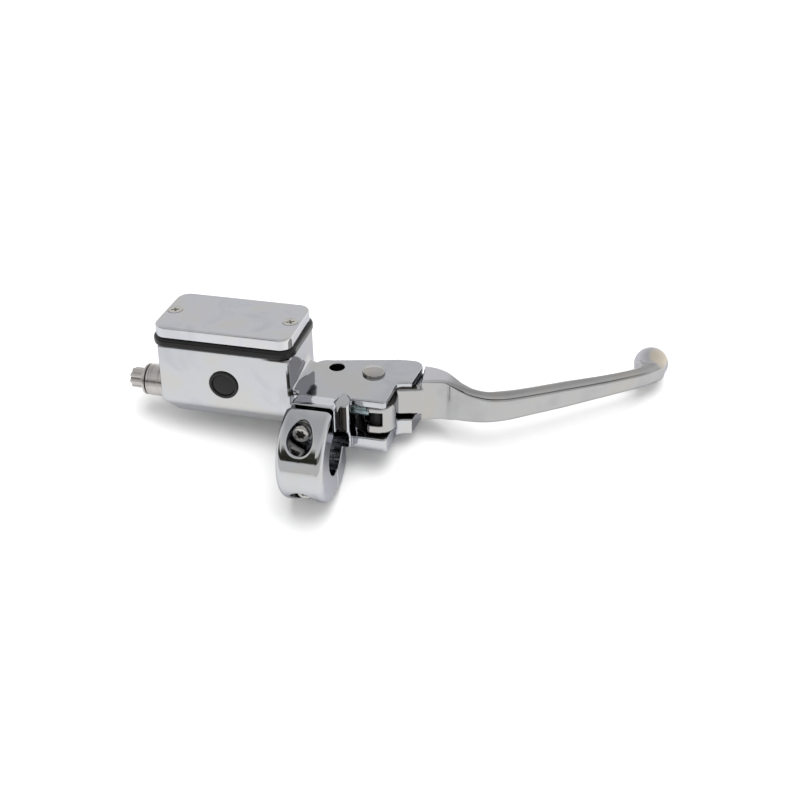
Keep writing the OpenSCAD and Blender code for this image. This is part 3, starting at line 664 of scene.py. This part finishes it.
def glass_rim(x, y, z):
    r = np.hypot(x - GLASS[0], z - GLASS[1])
    ring = slab(r - 8.5, span(y, RES_Y[0] - 1.1, RES_Y[0]), 0.6)
    d = smooth_min(ring, slab(r - 7.65, span(y, RES_Y[0] - 0.5, RES_Y[0] + 2.3), 0.2), 0.1)
    d = cut(d, np.maximum(r - 6.6, y - RES_Y[0] - 1.2), 0.3)
    return cut(d, r - 5.0, 0.2)


def glass(x, y, z):
    r = np.hypot(x - GLASS[0], z - GLASS[1])
    face = RES_Y[0] - 0.45 - 0.25 * np.maximum(1 - (r / 6.5) ** 2, 0)
    return np.maximum(smooth_max(r - 6.55, face - y, 0.4), y - RES_Y[0] - 1.15)


piece("sight_rim", glass_rim, (-65, RES_Y[0] - 1.2, 15.8), (-46.8, RES_Y[0] + 2.4, 33.6), 0.25,
      GLASS_RIM, "bracket", ["sight_glass_rim"])
piece("sight_window", glass, (-63, RES_Y[0] - 0.8, 17.8), (-48.8, RES_Y[0] + 1.3, 31.6), 0.25,
      DARK_GLASS, "bracket", ["sight_glass"])

# ---------------------------------------------------------------------------------------
# Outlet
# ---------------------------------------------------------------------------------------

OUT_X = ADAPTER_LOW[0]
SEAL = 0.7
WASHER = 1.35
BOLT_X0 = OUT_X - SEAL - 2 * WASHER


def adapter(x, y, z):
    r = np.hypot(y - BORE_Y, z - OUTLET_Z)
    flange = slab(r - 9.1, span(x, OUT_X, RES_X[0] + 1.5), 0.35)
    d = smooth_min(flange, slab(r - 3.97, span(x, RES_X[0], -87.6), 0.2), 0.2)
    for groove in (OUT_X + 1.6, OUT_X + 6.4):
        d = cut(d, np.hypot(x - groove, r - 9.25) - 0.35, 0.1)
    d = cut(d, r - 2.5, 0.1)
    return cut(d, np.maximum(r - 5.0, x - OUT_X - 6), 0.2)


def seal_ring(x, y, z, x0, x1, radius):
    r = np.hypot(y - BORE_Y, z - OUTLET_Z)
    return cut(slab(r - radius, span(x, x0, x1), 0.3), r - 5.1, 0.1)


def banjo_bolt(x, y, z):
    r = np.hypot(y - BORE_Y, z - OUTLET_Z)
    turn = np.arctan2(z - OUTLET_Z, y - BORE_Y)
    shank = slab(r - 4.97, span(x, BOLT_X0 - 1, OUT_X + 5.6), 0.4)
    flange = slab(r - 7.0, span(x, BOLT_X0 - 1.6, BOLT_X0), 0.5)
    lobes = 5.45 + 0.42 * np.clip(1.6 * np.cos(8 * turn), -1, 1)
    head = slab(r - lobes, span(x, BOLT_X0 - 8.8, BOLT_X0 - 1), 0.6)
    d = smooth_min(smooth_min(shank, flange, 0.3), head, 0.5)
    d = cut(d, np.maximum(r - 3.4, x - (BOLT_X0 - 8.2)), 0.4)
    return cut(d, np.maximum(r - 2.4, BOLT_X0 - 1 - x), 0.1)


SIDE = 9.3
piece("outlet_boss", adapter, (OUT_X, BORE_Y - SIDE, OUTLET_Z - SIDE),
      (-87.5, BORE_Y + SIDE, OUTLET_Z + SIDE), 0.25, ALUMINIUM, "bracket",
      ["outlet_adapter"])
for x0, word in ((OUT_X - WASHER, "near"), (OUT_X - 2 * WASHER - SEAL, "far")):
    piece(f"sealing_washer_{word}",
          lambda x, y, z, a=x0: seal_ring(x, y, z, a, a + WASHER, 9.0),
          (x0, BORE_Y - SIDE, OUTLET_Z - SIDE), (x0 + WASHER, BORE_Y + SIDE, OUTLET_Z + SIDE), 0.25,
          ALUMINIUM, "bracket", ["sealing_washers"])
GAP_X = (OUT_X - WASHER - SEAL, OUT_X - WASHER)
piece("washer_gap_seal", lambda x, y, z: seal_ring(x, y, z, *GAP_X, 8.6),
      (GAP_X[0], BORE_Y - SIDE, OUTLET_Z - SIDE), (GAP_X[1], BORE_Y + SIDE, OUTLET_Z + SIDE),
      0.22, RUBBER, "bracket", ["washer_seal"])
piece("banjo_head", banjo_bolt, (BOLT_X0 - 8.8, BORE_Y - 7.2, OUTLET_Z - 7.2),
      (OUT_X + 5.7, BORE_Y + 7.2, OUTLET_Z + 7.2), 0.22, ALUMINIUM, "bracket",
      ["banjo_bolt"])

# ---------------------------------------------------------------------------------------
# Lever
# ---------------------------------------------------------------------------------------

# The blade's two edges seen from above, then its heights and edge radii along it
LEVER_NEAR = [(50.2, 43.6), (61.6, 46.6), (68, 45.4), (76, 43.5), (86, 43), (96, 45),
              (106, 49.8), (128, 63.6), (150, 78.6), (166, 90.6), (176, 99), (182, 107)]
LEVER_FAR = [(167, 108), (166, 100), (160, 94.2), (147, 84.8), (127, 72.2), (104, 57.8),
             (94, 53), (84, 49.6), (74, 51.6), (66, 56.2), (57, 60.4), (48.6, 61.4)]
BLADE = smooth(LEVER_NEAR, 5) + smooth(LEVER_FAR, 5)
TOP_X = [44, 63, 70, 78, 88, 101, 128, 150, 168, 186]
TOP_H = [13.7, 13.4, 11.9, 10.3, 9.6, 9.6, 9.0, 7.9, 6.9, 6.6]
LOW_X = [44, 65, 70, 78, 88, 98, 112, 128, 145, 157, 168, 186]
LOW_H = [12.6, 12.6, 11.5, 10.8, 10.3, 9.3, 8.3, 7.8, 7.0, 6.8, 6.8, 6.8]
EDGE_X = [44, 62, 72, 90, 186]
EDGE_R = [1.3, 1.5, 3.0, 4.6, 4.6]
ARM = ([(16.4, 38), (24.8, 19.4)] + arc(26.6, 20.1, 2.1, 200, 275, 4)
       + arc(29.6, 28, 10, -78, -5, 10) + [(38.9, 36), (30, 48)])
TONGUE = [(20, 36), (30, 36), (38.4, 40.2), (51.2, 43.8), (51.2, 60.6), (44, 60.6), (24, 55)]
BALL = (175.2, 115.4, LEVER_Z)
BARREL = (29.7, BORE_Y)


def lever(x, y, z):
    plan = outline(x, y, BLADE)
    top = z - LEVER_Z - np.interp(x, TOP_X, TOP_H)
    low = LEVER_Z - z - np.interp(x, LOW_X, LOW_H)
    edge = np.interp(x, EDGE_X, EDGE_R)
    blade = slab(plan, np.maximum(top, low), edge)
    ball = np.sqrt((x - BALL[0]) ** 2 + (y - BALL[1]) ** 2 + (z - BALL[2]) ** 2) - BALL_R
    d = smooth_min(blade, ball, 6.0)
    height = span(z, 1.35, 20.55)
    arm = slab(smooth_min(outline(x, y, ARM), np.hypot(x - PIVOT[0], y - PIVOT[1]) - 10.4, 3.0),
               height, 2.6)
    tongue = slab(outline(x, y, TONGUE), height, 2.6)
    d = smooth_min(d, smooth_min(arm, tongue, 2.5), 0.8)
    d = cut(d, np.hypot(x - PIVOT[0], y - PIVOT[1]) - 5.2, 0.4)
    d = cut(d, bar_z(x, y, z, 4.5, 40, *BARREL, 4.65), 0.3)
    d = cut(d, box(x, y, z, (24.9, 5, 7.6), (33.8, BARREL[1], 16.1), 0.3), 0.4)
    return cut(d, box(x, y, z, (0, 19.8, 7.6), (BARREL[0], 31.2, 17.8), 0.3), 0.5)


piece("lever_blade", lever, (11, 17, -3), (185.6, 125.8, 25.4), 0.55, CHROME_LEVER, "lever",
      ["lever"])


def barrel(x, y, z):
    d = bar_z(x, y, z, 4.6, 20.2, *BARREL, 4.6, 0.5)
    return cut(d, bar_x(x, y, z, 20, BARREL[0] + 2.4, BORE_Y, BORE_Z, 3.4), 0.3)


piece("pushrod_barrel_pin", barrel, (24.9, 20.4, 4.4), (34.5, 30, 20.4), 0.22, PLASTIC, "barrel",
      ["pushrod_barrel"])

# ---------------------------------------------------------------------------------------
# Pivot pin and pushrod
# ---------------------------------------------------------------------------------------


def pivot_pin(x, y, z):
    r = np.hypot(x - PIVOT[0], y - PIVOT[1])
    shank = slab(r - 3.98, span(z, LOWER_Z - 2.6, PLATE_TOP + 0.5), 0.4)
    crown = 2.6 - 0.9 * (r / 6.5) ** 2
    head = smooth_max(slab(r - 6.5, span(z, PLATE_TOP + 0.02, PLATE_TOP + 4), 0.3),
                      z - PLATE_TOP - crown, 1.0)
    d = smooth_min(shank, head, 0.2)
    groove = np.maximum(span(z, LOWER_Z - 1.4, LOWER_Z - 0.4), 3.2 - r)
    return cut(d, groove, 0.1)


piece("pivot_button", pivot_pin, (16, 38.2, LOWER_Z - 2.7), (29.2, 51.4, PLATE_TOP + 2.9), 0.25, PIN,
      "bracket", ["pivot_pin"])


def pushrod(x, y, z):
    r = np.hypot(y - BORE_Y, z - BORE_Z)
    rod = slab(r - 3.7, span(x, 1.4, 25.6), 0.7)
    return smooth_min(rod, slab(r - 2.0, span(x, 20, 31.1), 0.8), 0.3)


piece("pushrod_shaft", pushrod, (1.2, 21.4, 9.9), (31.2, 29, 17.5), 0.25, ZINC_ROD, "piston",
      ["pushrod"])

# ---------------------------------------------------------------------------------------
# CAD nodes that are kept, with their finishes
# ---------------------------------------------------------------------------------------

KEPT = {"diaphragm_plate": PLASTIC, "port_baffle": SPRING_STEEL, "pivot_clip": SPRING_STEEL,
        "pivot_shims": SPRING_STEEL, "stop_washer": SPRING_STEEL, "bore_circlip": SPRING_STEEL,
        "dust_boot": RUBBER, "return_spring": SPRING_STEEL, "pivot_bushing": BRONZE,
        "piston": ALUMINIUM, "primary_cup": RUBBER, "secondary_cup": RUBBER,
        "spring_seat": SPRING_STEEL}
for node, material in KEPT.items():
    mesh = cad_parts[node].data
    mesh.materials.clear()
    mesh.materials.append(material)

# ---------------------------------------------------------------------------------------
# Floor, light and camera
# ---------------------------------------------------------------------------------------

# The part lies on its clamp, its lower plate and its lever's end, tipped forward
TABLE_UP = Vector((0.0967, -0.3776, 0.9209)).normalized()
TABLE_AT = -0.0292


def add_floor():
    """A sheet of white paper, tilted as the part lies on it and open to view from below."""
    m, nt, shader, coords = new_material("paper", (0.93, 0.93, 0.93), 0.0, 0.6)
    grain = ramp(nt, noise(nt, coords, 300, 3), [(0.3, 0.925), (0.7, 0.935)])
    nt.links.new(grain, shader.inputs["Base Color"])
    shader.inputs["Specular IOR Level"].default_value = 0.1
    side = nt.nodes.new("ShaderNodeNewGeometry")
    clear = nt.nodes.new("ShaderNodeBsdfTransparent")
    mix = nt.nodes.new("ShaderNodeMixShader")
    nt.links.new(side.outputs["Backfacing"], mix.inputs[0])
    nt.links.new(shader.outputs[0], mix.inputs[1])
    nt.links.new(clear.outputs[0], mix.inputs[2])
    nt.links.new(mix.outputs[0], nt.nodes["Material Output"].inputs["Surface"])
    mesh = bpy.data.meshes.new("paper_floor")
    reach, n = 3.0, 8
    line = np.linspace(-reach, reach, n + 1)
    turn = Vector((0, 0, 1)).rotation_difference(TABLE_UP)
    points = [turn @ Vector((a, b, TABLE_AT)) for b in line for a in line]
    row = n + 1
    quads = [(j * row + i, j * row + i + 1, (j + 1) * row + i + 1, (j + 1) * row + i)
             for j in range(n) for i in range(n)]
    mesh.from_pydata(points, [], quads)
    mesh.materials.append(m)
    o = bpy.data.objects.new("paper_floor", mesh)
    bpy.context.scene.collection.objects.link(o)


FIGURE_X = 0.28
FIGURE_WIDTH = 0.06
BAND_HEIGHTS = (0.02, 0.05, 0.26, 0.34)
FIGURE_HEIGHTS = (0.02, 0.05, 0.42, 0.6)


def between(nt, value, stops):
    """1 between the middle two of four values, fading to 0 at the outer two."""
    return ramp(nt, value, list(zip(stops, (0.0, 1.0, 1.0, 0.0))))


def add_world():
    """White walls, with a low dark gap and a dark upright figure on the rider's side."""
    world = bpy.data.worlds.new("studio")
    bpy.context.scene.world = world
    world.use_nodes = True
    nt = world.node_tree
    back = nt.nodes["Background"]
    coords = nt.nodes.new("ShaderNodeTexCoord")
    split = nt.nodes.new("ShaderNodeSeparateXYZ")
    nt.links.new(coords.outputs["Generated"], split.inputs[0])
    x, y, z = split.outputs
    walls = ramp(nt, z, [(0.0, 0.86), (0.35, 0.96), (0.65, 0.86), (0.95, 0.66)])
    toward = ramp(nt, math_node(nt, "MULTIPLY", y, -1.0), [(0.1, 0.0), (0.2, 1.0)])
    band = math_node(nt, "MULTIPLY", between(nt, z, BAND_HEIGHTS),
                     ramp(nt, math_node(nt, "ABSOLUTE", x), [(0.93, 1.0), (0.98, 0.0)]))
    aside = math_node(nt, "ABSOLUTE", math_node(nt, "ADD", x, FIGURE_X))
    figure = math_node(nt, "MULTIPLY", between(nt, z, FIGURE_HEIGHTS),
                       ramp(nt, aside, [(FIGURE_WIDTH, 1.0), (FIGURE_WIDTH + 0.03, 0.0)]))
    far_side = ramp(nt, x, [(0.25, 1.0), (0.5, 0.72)])
    room = math_node(nt, "MULTIPLY", math_node(nt, "MULTIPLY", toward, far_side),
                     math_node(nt, "MAXIMUM", band, figure))
    shade = ramp(nt, z, [(0.05, (0.03, 0.028, 0.02)), (0.5, (0.06, 0.06, 0.05)),
                         (0.9, (0.25, 0.25, 0.25))])
    nt.links.new(blend_colour(nt, room, walls, shade), back.inputs["Color"])
    back.inputs["Strength"].default_value = 1.0


LAMP_AT = TABLE_UP * 1.8 + Vector((0.1, 0.35, 0))
LAMP_SIZE = (1.3, 1.3)
LAMP_WATTS = 27


def add_soft_light(at, size, power):
    """A wide lamp that lifts the paper and leaves no spot of its own in the chrome."""
    data = bpy.data.lights.new("softbox", "AREA")
    data.shape = "RECTANGLE"
    data.size, data.size_y = size
    data.energy = power
    o = bpy.data.objects.new("softbox", data)
    o.location = at
    o.rotation_mode = "QUATERNION"
    o.rotation_quaternion = (-at).to_track_quat("-Z", "Y")
    o.visible_glossy = False
    bpy.context.scene.collection.objects.link(o)


CAMERA_AT = Vector((0.1545, -0.44593, 0.32778))
CAMERA_RIGHT = Vector((0.9735, 0.2287, -0.0046))
CAMERA_DOWN = Vector((0.1183, -0.5203, -0.8458))
CAMERA_AHEAD = Vector((-0.1958, 0.8228, -0.5335))
LENS = 47.19


def add_camera():
    data = bpy.data.cameras.new("camera")
    data.sensor_width = 36
    data.lens = LENS
    data.clip_start = 0.01
    o = bpy.data.objects.new("camera", data)
    bpy.context.scene.collection.objects.link(o)
    bpy.context.scene.camera = o
    m = Matrix((CAMERA_RIGHT, -CAMERA_DOWN, -CAMERA_AHEAD)).transposed().to_4x4()
    m.translation = CAMERA_AT
    o.matrix_world = m


add_floor()
add_world()
add_soft_light(LAMP_AT, LAMP_SIZE, LAMP_WATTS)
add_camera()
bpy.context.scene.view_settings.view_transform = "Standard"
